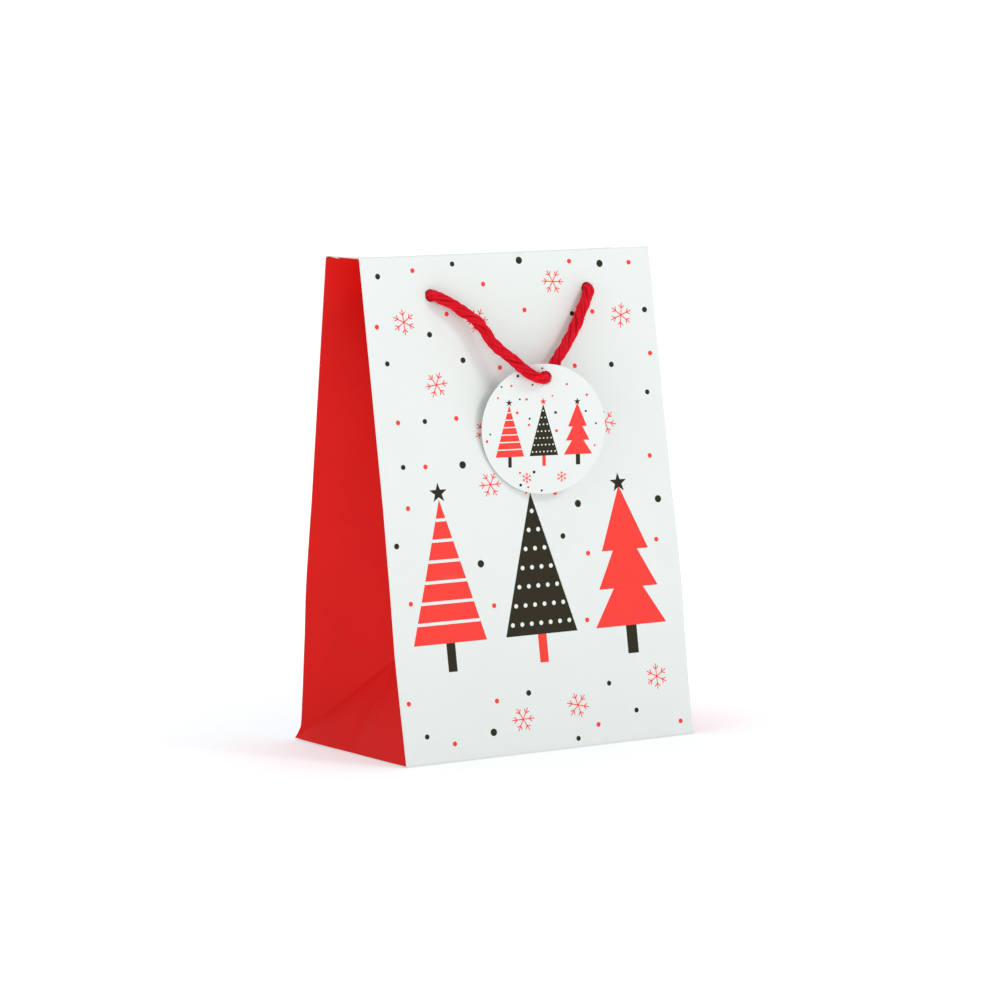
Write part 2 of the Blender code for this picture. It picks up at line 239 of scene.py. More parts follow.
def ranged(nodes, links, source, low, high):
    node = nodes.new("ShaderNodeMapRange")
    node.inputs["From Min"].default_value = 0.3
    node.inputs["From Max"].default_value = 0.7
    node.inputs["To Min"].default_value = low
    node.inputs["To Max"].default_value = high
    links.new(source, node.inputs["Value"])
    return node.outputs["Result"]


def mixed_colour(nodes, links, factor, first, second):
    node = nodes.new("ShaderNodeMix")
    node.data_type = 'RGBA'
    node.inputs["A"].default_value = (*first, 1.0)
    node.inputs["B"].default_value = (*second, 1.0)
    links.new(factor, node.inputs["Factor"])
    return node.outputs["Result"]


def paper_material(name, colour, tone, roughness, specular, grain=0.00002, fibre=2600):
    """Paper with a faint mottle in its colour and gloss, and a fine fibre grain.

    tone is how much darker the mottle's dark patches are; grain is the height of the
    fibres in metres and fibre their number per metre.
    """
    material = plain_material(name, colour, roughness, specular)
    nodes, links = material.node_tree.nodes, material.node_tree.links
    shader = nodes["Principled BSDF"]
    place = nodes.new("ShaderNodeTexCoord").outputs["Object"]
    mottle = noise_node(nodes, 42.0, 3.0)
    links.new(place, mottle.inputs["Vector"])
    factor = ranged(nodes, links, mottle.outputs["Fac"], 0.0, 1.0)
    darker = tuple(c * (1 - tone) for c in colour)
    links.new(mixed_colour(nodes, links, factor, colour, darker), shader.inputs["Base Color"])
    fibres = noise_node(nodes, fibre, 2.0, 0.6)
    links.new(place, fibres.inputs["Vector"])
    rough = ranged(nodes, links, fibres.outputs["Fac"], roughness - 0.04, roughness + 0.05)
    links.new(rough, shader.inputs["Roughness"])
    bump = nodes.new("ShaderNodeBump")
    bump.inputs["Distance"].default_value = grain
    bump.inputs["Strength"].default_value = 0.5
    links.new(fibres.outputs["Fac"], bump.inputs["Height"])
    links.new(bump.outputs["Normal"], shader.inputs["Normal"])
    return material


def card_material():
    """Grey recycled board: flecked, dull and fibrous."""
    return paper_material("grey_board", (0.50, 0.47, 0.42), 0.12, 0.85, 0.2, 0.00006, 1500)


def rope_material():
    """Dyed cotton: yarn twist along each strand, loose fibres and a soft sheen; the colour is
    painted darker in the yarn's grooves as painted shade.
    """
    material = plain_material("rope_cotton", (0.72, 0.008, 0.028), 0.9, 0.06)
    nodes, links = material.node_tree.nodes, material.node_tree.links
    shader = nodes["Principled BSDF"]
    shader.inputs["Sheen Weight"].default_value = 0.12
    shader.inputs["Sheen Roughness"].default_value = 0.45
    shader.inputs["Sheen Tint"].default_value = (1.0, 0.10, 0.16, 1.0)
    coordinates = nodes.new("ShaderNodeTexCoord")
    yarn = nodes.new("ShaderNodeTexWave")
    yarn.wave_type = 'BANDS'
    yarn.bands_direction = 'DIAGONAL'
    yarn.inputs["Scale"].default_value = 950.0
    yarn.inputs["Distortion"].default_value = 2.2
    yarn.inputs["Detail"].default_value = 2.0
    yarn.inputs["Detail Scale"].default_value = 3.0
    links.new(coordinates.outputs["UV"], yarn.inputs["Vector"])
    fibres = noise_node(nodes, 1900, 3.0, 0.65)
    links.new(coordinates.outputs["Object"], fibres.inputs["Vector"])
    patch = noise_node(nodes, 210, 2.0)
    links.new(coordinates.outputs["Object"], patch.inputs["Vector"])
    # painted shade: the yarn bands darken the dye where the bump dips, in the grooves between the
    # plies
    tone = ranged(nodes, links, yarn.outputs["Fac"], 0.0, 0.8)
    dye_and_groove_shade = mixed_colour(nodes, links, tone, (0.66, 0.003, 0.010), (1.0, 0.012, 0.030))
    worn = nodes.new("ShaderNodeMix")
    worn.data_type = 'RGBA'
    worn.inputs["B"].default_value = (1.0, 0.022, 0.048, 1.0)
    links.new(ranged(nodes, links, patch.outputs["Fac"], 0.0, 0.55), worn.inputs["Factor"])
    links.new(dye_and_groove_shade, worn.inputs["A"])
    links.new(worn.outputs["Result"], shader.inputs["Base Color"])
    height = nodes.new("ShaderNodeMath")
    height.operation = 'MULTIPLY_ADD'
    height.inputs[1].default_value = 0.8
    links.new(fibres.outputs["Fac"], height.inputs[0])
    links.new(yarn.outputs["Fac"], height.inputs[2])
    bump = nodes.new("ShaderNodeBump")
    bump.inputs["Distance"].default_value = 0.00022
    bump.inputs["Strength"].default_value = 0.8
    links.new(height.outputs[0], bump.inputs["Height"])
    links.new(bump.outputs["Normal"], shader.inputs["Normal"])
    return material


# ---------------------------------------------------------------- the folded shape
def bow(side, x, up):
    """How far the paper stands out from the flat wall, which bulges and creases a little."""
    share = min(max(up / WALL_LENGTH, 0.0), 1.0)
    across = x / HALF_WIDTH
    middle = 1 - across * across
    swell = math.sin(math.pi * share)
    low_half = math.sin(2 * math.pi * share) if share < 0.5 else 0.0
    lift = EDGE_LIFT[side] + EDGE_LIFT_TILT[side] * across
    edges = lift * across ** 4 * min(1.0, max(0.0, share - 0.10) / 0.20)
    warp = 0.0011 * across * low_half * -side
    crease = 0.0007 * max(0.0, 1 - abs(up - HALF_DEPTH) / 0.032)
    slack = 0.0007 * middle * swell * swell
    waves = 0.0006 * middle * swell * noise.noise(Vector((x * 26, up * 15, 3.7 * side)))
    round_edge = 0.0005 * max(0.0, (abs(x) - HALF_WIDTH + EDGE_ROUND) / EDGE_ROUND) ** 2
    return 0.0004 * swell + edges + warp - crease + slack + waves - round_edge


def flared(point):
    """The foot's paper springs out a little at the back left and front right corners."""
    low = max(0.0, 1 - point.z / 0.007)
    weight = max(0.0, -point.x * point.y) / (HALF_WIDTH * HALF_DEPTH)
    share = FOOT_SPRING[LEFT if point.x < 0 else RIGHT] * low * low * weight
    return Vector((point.x * (1 + share), point.y, point.z))


def dipped(side, x, up):
    """The height `up` once the back wall's mouth has sagged; nothing below the holes moves."""
    if side == FRONT:
        return up
    start = HOLE_UP + 0.005
    near_mouth = min(max((up - start) / (WALL_LENGTH - start), 0.0), 1.0)
    return up - MOUTH_DIP * near_mouth * min(1.0, (x + HALF_WIDTH) / 0.018)


def wall_point(side, x, up, inward):
    up = dipped(side, x, up)
    depth = inward - bow(side, x, up)
    share = up / WALL_LENGTH
    y = HALF_DEPTH - LEAN * share - depth * RISE / WALL_LENGTH
    z = RISE * share - depth * LEAN / WALL_LENGTH
    return flared(Vector((x, side * y, max(z, 0.0))))


def folded_wall_point(side, x, along, inward):
    """A point on a wall and its hem: past the mouth, `along` runs over the fold and down."""
    straight = WALL_LENGTH - HEM_FOLD
    if along <= straight:
        return wall_point(side, x, along, inward)
    arc = math.pi * HEM_FOLD
    if along < straight + arc:
        angle = (along - straight) / HEM_FOLD
        radius = HEM_FOLD - inward
        return wall_point(side, x, straight + radius * math.sin(angle),
                          HEM_FOLD - radius * math.cos(angle))
    return wall_point(side, x, straight - (along - straight - arc), 2 * HEM_FOLD - inward)


def gusset_apex():
    """How far in and how high the base triangle's tip stands, from the flat sheet's lengths."""
    flat = (WALL_LENGTH - HALF_DEPTH) ** 2 + HALF_DEPTH ** 2
    height = (HALF_DEPTH ** 2 + HALF_MOUTH ** 2 + RISE ** 2 - flat) / (2 * RISE)
    return math.sqrt(HALF_DEPTH ** 2 - height ** 2), height


def gusset_top():
    """Where a gusset's centre crease meets the mouth."""
    inset, height = gusset_apex()
    reach = math.sqrt(HALF_DEPTH ** 2 - HALF_MOUTH ** 2)
    drop = 0.0
    for _ in range(40):
        across = math.sqrt(reach ** 2 - drop ** 2)
        crease = math.sqrt((WALL_LENGTH - HALF_DEPTH) ** 2 - (across - inset) ** 2)
        drop = RISE - height - crease
    return math.sqrt(reach ** 2 - drop ** 2), RISE - drop


APEX_IN, APEX_Z = gusset_apex()
TOP_IN, TOP_Z = gusset_top()
GUSSET_HEIGHT = WALL_LENGTH - HALF_DEPTH      # length of the gusset's centre crease
FOLD_EDGE = PAPER + 0.00006                   # the gusset starts just behind the wall's paper


def gusset_point(hand, side, width, share, inward):
    """A point on a gusset half; width 0 is its centre crease and 1 the wall's edge."""
    crease = Vector((hand * (HALF_WIDTH - APEX_IN - (TOP_IN - APEX_IN) * share), 0,
                     APEX_Z + (TOP_Z - APEX_Z) * share))
    x = hand * (HALF_WIDTH - 0.0001)
    edge = wall_point(side, x, 0.0008 + (WALL_LENGTH - 0.0008) * share, FOLD_EDGE)
    flat_up = Vector((0, -side * LEAN, RISE)).normalized()
    normal = (edge - crease).normalized().cross(flat_up).normalized()
    if normal.y * side < 0:
        normal.negate()
    if width <= 0:
        return crease + Vector((-hand * inward / abs(normal.x), 0, 0))
    puff = 0.0016 * math.sin(math.pi * width) * math.sin(math.pi * min(1.0, share * 1.15))
    waves = 0.0005 * noise.noise(Vector((width * 2.1, share * 5.0, 1.3 * hand + 2.9 * side)))
    lift = inward - puff + waves * math.sin(math.pi * width)
    return crease.lerp(edge, width) + normal * lift


def folded_gusset_point(hand, side, width, along, inward):
    """As gusset_point, with `along` in metres up from the apex, over the fold and down.

    Below the apex, where `along` is negative, the paper runs on behind the base fold.
    """
    straight = gusset_straight(hand)
    arc = math.pi * GUSSET_FOLD
    if along < 0:
        down = Vector((hand * (TOP_IN - APEX_IN), 0, APEX_Z - TOP_Z)).normalized()
        reach = -along * math.sin(math.pi * width)
        return gusset_point(hand, side, width, 0.0, inward) + down * reach
    if along <= straight:
        return gusset_point(hand, side, width, along / GUSSET_HEIGHT, inward)
    if along < straight + arc:
        angle = (along - straight) / GUSSET_FOLD
        radius = GUSSET_FOLD - inward
        share = (straight + radius * math.sin(angle)) / GUSSET_HEIGHT
        return gusset_point(hand, side, width, share, GUSSET_FOLD - radius * math.cos(angle))
    share = (straight - (along - straight - arc)) / GUSSET_HEIGHT
    return gusset_point(hand, side, width, share, 2 * GUSSET_FOLD - inward)


def gusset_straight(hand):
    """How far a gusset runs up its crease before it folds over."""
    return GUSSET_HEIGHT - GUSSET_FOLD - TOP_DROP[hand]


# ---------------------------------------------------------------- mesh helpers
# Slots of a sheet's materials; a sheet without a print has only the first three.
GROUND, REVERSE, CUT_EDGE, RED_INK, DARK_INK, FOLD_RED = range(6)


def new_object(name, mesh, materials):
    thing = bpy.data.objects.new(name, mesh)
    bpy.context.scene.collection.objects.link(thing)
    for material in materials:
        mesh.materials.append(material)
    mesh.shade_smooth()
    return thing


def thick_sheet(name, flat, triangles, slots, place, thickness, materials, rim_slot):
    """A closed sheet: a flat triangulation placed twice, with a rim round every free edge.

    rim_slot(a, b) gives the material slot of the rim between two flat points.
    The outer face takes `slots`, the inner face REVERSE.
    """
    count = len(flat)
    points = [place(u, v, 0.0) for u, v in flat] + [place(u, v, thickness) for u, v in flat]
    faces = [tuple(t) for t in triangles]
    faces += [tuple(i + count for i in reversed(t)) for t in triangles]
    indices = list(slots) + [REVERSE] * len(triangles)
    directed = {}
    for t in triangles:
        for k in range(3):
            directed[(t[k], t[(k + 1) % 3])] = True
    rim = [edge for edge in directed if (edge[1], edge[0]) not in directed]
    for a, b in rim:
        faces.append((b, a, a + count, b + count))
        indices.append(rim_slot(flat[a], flat[b]))
    mesh = bpy.data.meshes.new(name)
    mesh.from_pydata(points, [], faces)
    mesh.update()
    thing = new_object(name, mesh, materials)
    mesh.polygons.foreach_set("material_index", indices)
    shape = bmesh.new()
    shape.from_mesh(mesh)
    bmesh.ops.recalc_face_normals(shape, faces=shape.faces)
    shape.to_mesh(mesh)
    shape.free()
    mesh.set_sharp_from_angle(angle=math.radians(50))
    return thing


def grid_sheet(name, us, vs, place, thickness, materials):
    """A closed sheet over a regular grid of u and v; its materials are face, reverse and rim."""
    flat = [(u, v) for v in vs for u in us]
    triangles = []
    for r in range(len(vs) - 1):
        for c in range(len(us) - 1):
            a = r * len(us) + c
            b, d, e = a + 1, a + len(us), a + len(us) + 1
            triangles += [(a, b, e), (a, e, d)]
    slots = [GROUND] * len(triangles)
    return thick_sheet(name, flat, triangles, slots, place, thickness, materials,
                       lambda a, b: CUT_EDGE)


def steps(low, high, spacing):
    count = max(1, round((high - low) / spacing))
    return [low + (high - low) * i / count for i in range(count + 1)]


def inside(points, polygon):
    """Which of the points (an n by 2 array) lie inside the polygon."""
    found = np.zeros(len(points), bool)
    x, y = points[:, 0], points[:, 1]
    for (ax, ay), (bx, by) in zip(polygon, polygon[1:] + polygon[:1]):
        if ay == by:
            continue
        crosses = ((ay > y) != (by > y)) & (x < (bx - ax) * (y - ay) / (by - ay) + ax)
        found ^= crosses
    return found


def printed_sheet(name, outline, holes, shapes, grid, place, thickness, materials, rim_slot):
    """A sheet whose mesh follows the outlines of its print, so each ink is its own faces.

    shapes is a list of (slot, polygon), each painted over the ones before it.
    """
    points, edges = [], []

    def add_loop(loop):
        start = len(points)
        points.extend(Vector(p) for p in loop)
        edges.extend((start + i, start + (i + 1) % len(loop)) for i in range(len(loop)))

    add_loop(outline)
    for loop in holes:
        add_loop(loop)
    for _, loop in shapes:
        add_loop(loop)
    points.extend(Vector(p) for p in grid)
    flat, _, triangles, _, _, _ = geometry.delaunay_2d_cdt(points, edges, [], 0, 1e-7, False)
    flat = [(p.x, p.y) for p in flat]
    corners = np.array(flat)
    middles = np.array([corners[list(t)].mean(axis=0) for t in triangles])
    kept = inside(middles, outline)
    for loop in holes:
        kept &= ~inside(middles, loop)
    slots = np.zeros(len(triangles), int)
    for slot, loop in shapes:
        low, high = np.min(loop, axis=0), np.max(loop, axis=0)
        near = np.where(np.all((middles >= low) & (middles <= high), axis=1))[0]
        if len(near):
            slots[near[inside(middles[near], loop)]] = slot
    used = [i for i in range(len(triangles)) if kept[i]]
    renumber, order = {}, []
    for i in used:
        for k in triangles[i]:
            if k not in renumber:
                renumber[k] = len(order)
                order.append(k)
    return thick_sheet(name, [flat[k] for k in order],
                       [tuple(renumber[k] for k in triangles[i]) for i in used],
                       [int(slots[i]) for i in used], place, thickness, materials, rim_slot)


# ---------------------------------------------------------------- the print
# Sizes of the print are in millimetres on the wall; MM turns them into metres.
MM = 0.001


def disc(x, y, radius, sides=14):
    return [(x + radius * math.cos(2 * math.pi * i / sides),
             y + radius * math.sin(2 * math.pi * i / sides)) for i in range(sides)]


def bar(ax, ay, bx, by, width):
    """A straight line of the given width."""
    length = math.hypot(bx - ax, by - ay)
    nx, ny = -(by - ay) / length * width / 2, (bx - ax) / length * width / 2
    return [(ax - nx, ay - ny), (bx - nx, by - ny), (bx + nx, by + ny), (ax + nx, ay + ny)]


def star(x, y, radius):
    """A five-pointed star."""
    tips = []
    for i in range(10):
        reach = radius if i % 2 == 0 else radius * 0.40
        angle = math.pi / 2 + math.pi * i / 5
        tips.append((x + reach * math.cos(angle), y + reach * math.sin(angle)))
    return tips


def snowflake(x, y, radius, turn, line):
    """Six arms, each with a short pair of side branches."""
    shapes = []
    for i in range(6):
        angle = turn + math.pi * i / 3
        dx, dy = math.cos(angle), math.sin(angle)
        shapes.append((RED_INK, bar(x, y, x + dx * radius, y + dy * radius, line)))
        fork_x, fork_y = x + dx * radius * 0.55, y + dy * radius * 0.55
        for hand in HANDS:
            branch = angle + hand * math.pi / 4
            end_x = fork_x + math.cos(branch) * radius * 0.34
            end_y = fork_y + math.sin(branch) * radius * 0.34
            shapes.append((RED_INK, bar(fork_x, fork_y, end_x, end_y, line)))
    return shapes


def triangle_tree(x, base, height, half_base, ink, trunk_ink):
    """A plain triangle on a short trunk, with a star on top."""
    return [(trunk_ink, bar(x, base - height * 0.2, x, base + 1, half_base * 0.24)),
            (ink, [(x - half_base, base), (x + half_base, base), (x, base + height)]),
            (trunk_ink, star(x, base + height + half_base * 0.15, half_base * 0.25))]


def striped_tree(x, base, height, half_base):
    """A red triangle with level white stripes."""
    shapes = triangle_tree(x, base, height, half_base, RED_INK, DARK_INK)
    for i in range(1, 7):
        share = i / 7
        half = half_base * (1 - share)
        y = base + height * share
        shapes.append((GROUND, bar(x - half, y, x + half, y, height * 0.022)))
    return shapes


def dotted_tree(x, base, height, half_base):
    """A dark triangle with even rows of white dots."""
    shapes = triangle_tree(x, base, height, half_base, DARK_INK, RED_INK)
    rows = 7
    for row in range(rows):
        share = (row + 0.6) / (rows + 0.6)
        count = rows - row
        reach = half_base * (1 - share) * (count - 1) / count
        for i in range(count):
            place = 0.0 if count == 1 else 2 * i / (count - 1) - 1
            shapes.append((GROUND, disc(x + reach * place, base + height * share,
                                        half_base * 0.055, 10)))
    return shapes


def tiered_tree(x, base, height, half_base):
    """Three red triangles of shrinking size, stacked."""
    shapes = [(DARK_INK, bar(x, base - height * 0.2, x, base + 1, half_base * 0.30))]
    for tier in range(3):
        foot = base + height * 0.27 * tier
        half = half_base * (1 - 0.17 * tier)
        shapes.append((RED_INK, [(x - half, foot), (x + half, foot), (x, foot + height * 0.46)]))
    shapes.append((DARK_INK, star(x, base + height * 1.02, half_base * 0.25)))
    return shapes


TREE_KINDS = (striped_tree, dotted_tree, tiered_tree)


def tree_row(spacing, base, height, half_base):
    """Three plain trees in an even row, the middle one dark."""
    shapes = []
    for i, tree in enumerate(TREE_KINDS):
        shapes += tree((i - 1) * spacing, base, height, half_base)
    return shapes


def tree_clearance(spacing, base, height, half_base):
    """Circles (x, y, radius) that cover a row of trees, so that nothing falls on it."""
    circles = []
    for i in range(len(TREE_KINDS)):
        x = (i - 1) * spacing
        for k in range(13):
            share = (k - 2) / 9
            half = half_base * (1 - share) if share >= 0 else half_base * 0.1
            circles.append((x, base + height * share, max(half, half_base * 0.2) + 1.5))
    return circles


def scattered(rng, half_width, low, high, spacing, clear):
    """Places on a jittered grid that keep clear of the circles already taken."""
    rows, columns = round((high - low) / spacing), round(2 * half_width / spacing)
    for row in range(rows):
        for column in range(columns):
            across = column + 0.5 + rng.uniform(-0.32, 0.32)
            x = -half_width + across * 2 * half_width / columns
            y = low + (row + 0.5 + rng.uniform(-0.32, 0.32)) * (high - low) / rows
            yield row + column, x, y, lambda r: all(math.hypot(x - cx, y - cy) > reach + r
                                                    for cx, cy, reach in clear)


def wall_print(mirror):
    """The print of a whole wall, in metres; mirror is -1 on the back wall."""
    row = (2 * HALF_WIDTH / MM / 3.2, 56, 68, 20)
    top = WALL_LENGTH / MM
    draw = random.Random(12)
    clear = tree_clearance(*row)
    clear += [(hand * HOLE_X / MM, HOLE_UP / MM, 5.0) for hand in HANDS]
    shapes = []
    for _, x, y, is_free in scattered(draw, HALF_WIDTH / MM - 4, 4, top - 6, 44, clear):
        if is_free(5.5):
            shapes += snowflake(x, y, 6.2, draw.uniform(0, 1), 0.5)
            clear.append((x, y, 6.5))
    for count, x, y, is_free in scattered(draw, HALF_WIDTH / MM, 0, top, 21, clear):
        radius = 1.2 if count % 2 else draw.choice((1.25, 1.4, 1.8))
        if is_free(radius + 0.8):
            shapes.append((RED_INK if count % 2 else DARK_INK, disc(x, y, radius)))
    shapes += tree_row(*row)
    return [(slot, [(mirror * x * MM, y * MM) for x, y in loop]) for slot, loop in shapes]


def tag_print(radius):
    """The same row of trees, small, for the round tag; the origin is the tag's middle."""
    scale = TAG_SCALE * MM
    row = (43, -32, 62, 18)
    reach = radius / scale
    draw = random.Random(4)
    clear = tree_clearance(*row) + [(11, reach * 0.78, 13)]
    shapes = []
    for x, y in ((22, -58), (-22, -58)):
        shapes += snowflake(x, y, 6.5, math.pi / 6, 0.9)
        clear.append((x, y, 7.5))
    for count, x, y, is_free in scattered(draw, reach, -reach, reach, 17, clear):
        dot = draw.uniform(1.2, 2.0)
        if is_free(dot + 1) and math.hypot(x, y) < reach - 4:
            shapes.append((RED_INK if count % 2 else DARK_INK, disc(x, y, dot, 10)))
    shapes += tree_row(*row)
    return [(slot, [(x * scale, y * scale) for x, y in loop]) for slot, loop in shapes]


# ---------------------------------------------------------------- the paper pieces
white_ground = (0.80, 0.832, 0.797)
satin_white = paper_material("printed_white", white_ground, 0.015, 0.45, 0.25)
inside_white = paper_material("paper_reverse", (0.80, 0.80, 0.78), 0.03, 0.75, 0.2, 0.00004, 1800)
cut_edge = paper_material("paper_cut_edge", (0.74, 0.70, 0.62), 0.10, 0.85, 0.1, 0.00004, 2500)
red_ink = paper_material("red_ink", (0.96, 0.046, 0.034), 0.03, 0.42, 0.25)
dark_ink = paper_material("dark_ink", (0.020, 0.015, 0.003), 0.10, 0.42, 0.22)
satin_red = paper_material("red_paper", (0.76, 0.008, 0.005), 0.05, 0.42, 0.12)
PRINT_MATERIALS = (satin_white, inside_white, cut_edge, red_ink, dark_ink, satin_red)
grey_board = card_material()
rope_cotton = rope_material()


def wall_piece(side):
    """One wall with its hem folded in, printed, and punched for the rope."""
    straight = WALL_LENGTH - HEM_FOLD
    arc_end = straight + math.pi * HEM_FOLD
    hem_end = arc_end + HEM - HEM_FOLD
    edge = HALF_WIDTH
    ups = steps(0.0005, straight, GRID) + [HALF_DEPTH - 0.0012, HALF_DEPTH, HALF_DEPTH + 0.0012]
    ups += [straight + (arc_end - straight) * i / 8 for i in range(1, 8)]
    ups += steps(arc_end, hem_end, GRID)

    def edge_at(up):
        if up <= straight:
            return edge
        share = min(1.0, (up - straight) / (arc_end - straight))
        return edge + (HEM_HALF_WIDTH - edge) * share ** 3

    levels = sorted(set(ups))
    right = [(edge_at(v), v) for v in levels]
    outline = right + [(-x, v) for x, v in reversed(right)]
    hole_on_hem = arc_end + straight - HOLE_UP
    holes = [disc(hand * HOLE_X, v, HOLE_RADIUS, 28)
             for hand in HANDS for v in (HOLE_UP, hole_on_hem)]
    xs = steps(-edge, edge, GRID)[1:-1]
    xs += [hand * (edge - EDGE_ROUND * part) for hand in HANDS for part in (0.25, 0.5, 0.75, 1)]
    grid = [(x, v) for v in levels for x in xs if abs(x) < edge_at(v) - 0.0003]
    grid = [(x, v) for x, v in grid if v not in (levels[0], levels[-1])]
    grid = [(x, v) for x, v in grid
            if all(math.hypot(x - hand * HOLE_X, v - h) > HOLE_RADIUS + 0.001
                   for hand in HANDS for h in (HOLE_UP, hole_on_hem))]

    def rim_slot(a, b):
        on_side = abs(abs(a[0]) - edge) < 1e-5 and abs(abs(b[0]) - edge) < 1e-5
        return FOLD_RED if on_side else CUT_EDGE

    name = SIDES[side]
    piece = printed_sheet(name + "_wall_paper", outline, holes, wall_print(-side), grid,
                          lambda u, v, d: folded_wall_point(side, u, v, d), PAPER,
                          PRINT_MATERIALS, rim_slot)
    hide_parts(name + "_panel", name + "_hem")
    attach(piece, name + "_wall")


def gusset_pieces():
    """Each gusset half is bent paper between the static centre crease and its wall."""
    widths = steps(0.0, 1.0, 0.06)
    for hand, hand_name in HANDS.items():
        straight = gusset_straight(hand)
        arc_end = straight + math.pi * GUSSET_FOLD
        along = [-UNDERLAP, -UNDERLAP / 2] + steps(0.0, straight, 0.005)
        along += [straight + (arc_end - straight) * i / 6 for i in range(1, 6)]
        along += steps(arc_end, arc_end + HEM - 0.004, 0.006)
        for side, side_name in SIDES.items():
            def place(width, v, inward):
                hem = max(0.0, min(1.0, (v - straight) / (arc_end - straight)))
                return folded_gusset_point(hand, side, width * (1 - 0.14 * hem), v, inward)

            piece = grid_sheet(f"{hand_name}_gusset_{side_name}", widths, along, place, PAPER,
                               (satin_red, inside_white, satin_red))
            if side == FRONT:
                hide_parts(hand_name + "_gusset", hand_name + "_gusset_hem")
            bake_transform(piece)


def base_fold_pieces():
    """The leaning triangle at each foot, and the tuck it turns into under the board."""
    tuck_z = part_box("left_bottom_tuck")[0].z
    tuck_reach = 0.036
    for hand, hand_name in HANDS.items():
        out = Vector((hand * APEX_Z, 0, APEX_IN)) / HALF_DEPTH
        fold = Vector((hand * (HALF_WIDTH - 0.0001), 0, 0.0003))
        apex = Vector((hand * (HALF_WIDTH - APEX_IN), 0, APEX_Z))

        def place(u, v, inward):
            """v runs from -tuck_reach, inside the base, through 0 at the fold, to the apex."""
            if v < 0:
                half = HALF_DEPTH - 0.0012 + v
                climb = min(1.0, -v / 0.003)
                return Vector((hand * (HALF_WIDTH + v - 0.0002), u * half,
                               0.0002 + tuck_z * climb + inward))
            share = v / HALF_DEPTH
            side = BACK if u > 0 else FRONT
            edge = gusset_point(hand, side, 1 - share, 0.0, 0.0)
            middle = fold.lerp(apex, share)
            point = middle.lerp(edge, abs(u))
            rise = math.sin(math.pi * share)
            ridge = 0.0010 * max(0.0, 1 - abs(u) * (1 - share) * HALF_DEPTH / 0.009) * rise
            belly = 0.0007 * (1 - u * u) * rise
            spring = 0.0010 * (1 - share) ** 7 * (1 - u ** 4)
            return point + out * (belly - ridge - inward) + Vector((hand * spring, 0, 0))

        levels = steps(-tuck_reach, -0.003, 0.006) + [-0.0015]
        levels += [0.0, 0.0008, 0.0018, 0.003]
        levels += steps(0.0045, HALF_DEPTH - 0.00002, 0.0025)
        us = [-1.0, -0.97] + steps(-0.9, 0.9, 0.075) + [0.97, 1.0]
        piece = grid_sheet(hand_name + "_base_fold", us, levels, place, PAPER,
                           (satin_red, inside_white, satin_red))
        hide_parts(hand_name + "_base_triangle", hand_name + "_bottom_tuck")
        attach(piece, "bag_base")


def tag_piece():
    """The round card, hanging plumb and turned a little to the left."""
    low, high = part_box("gift_tag")
    centre = (low + high) / 2
    radius = (high.z - low.z) / 2
    right = Vector((math.cos(TAG_TURN), -math.sin(TAG_TURN), 0))
    facing = Vector((-math.sin(TAG_TURN), -math.cos(TAG_TURN), 0))
    hole = joint_at["tag_hang"] - centre
    hole_at = (hole.dot(right), hole.z)

    def place(u, v, inward):
        curl = 0.0004 * (u / radius) ** 2 + 0.0003 * (v / radius) ** 2
        front = TAG_THICKNESS / 2 + curl - inward
        return centre + right * u + Vector((0, 0, v)) + facing * front

    outline = disc(0, 0, radius, 120)
    grid = [(x, y) for x in steps(-radius, radius, 0.004) for y in steps(-radius, radius, 0.004)
            if math.hypot(x, y) < radius - 0.002
            and math.hypot(x - hole_at[0], y - hole_at[1]) > TAG_HOLE_RADIUS + 0.001]
    piece = printed_sheet("tag_card", outline, [disc(*hole_at, TAG_HOLE_RADIUS, 32)],
                          tag_print(radius), grid, place, TAG_THICKNESS,
                          PRINT_MATERIALS, lambda a, b: GROUND)
    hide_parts("gift_tag")
    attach(piece, "tag")


# ---------------------------------------------------------------- the rope
def smooth_curve(points, per_span):
    """Points along a Catmull-Rom curve through the given points."""
    padded = [2 * points[0] - points[1], *points, 2 * points[-1] - points[-2]]
    route = []
    for i in range(1, len(padded) - 2):
        before, start, end, after = padded[i - 1:i + 3]
        for k in range(per_span):
            t = k / per_span
            route.append(0.5 * (2 * start + (end - before) * t
                                + (2 * before - 5 * start + 4 * end - after) * t ** 2
                                + (3 * start - before - 3 * end + after) * t ** 3))
    route.append(points[-1])
    return route


def even_points(route, spacing):
    """The same route with its points evenly spaced."""
    lengths = [0.0]
    for a, b in zip(route, route[1:]):
        lengths.append(lengths[-1] + (b - a).length)
    count = max(2, round(lengths[-1] / spacing))
    points, k = [], 0
    for i in range(count + 1):
        wanted = lengths[-1] * i / count
        while k < len(route) - 2 and lengths[k + 1] < wanted:
            k += 1
        t = (wanted - lengths[k]) / max(lengths[k + 1] - lengths[k], 1e-9)
        points.append(route[k].lerp(route[k + 1], min(max(t, 0.0), 1.0)))
    return points


def carried_frames(points):
    """A pair of cross directions at each point that never spins about the route."""
    tangents = []
    for i in range(len(points)):
        ahead, behind = points[min(i + 1, len(points) - 1)], points[max(i - 1, 0)]
        tangents.append((ahead - behind).normalized())
    side = tangents[0].orthogonal().normalized()
    frames = []
    for i, tangent in enumerate(tangents):
        if i:
            side = tangents[i - 1].rotation_difference(tangent) @ side
        side = (side - tangent * side.dot(tangent)).normalized()
        frames.append((side, tangent.cross(side)))
    return frames


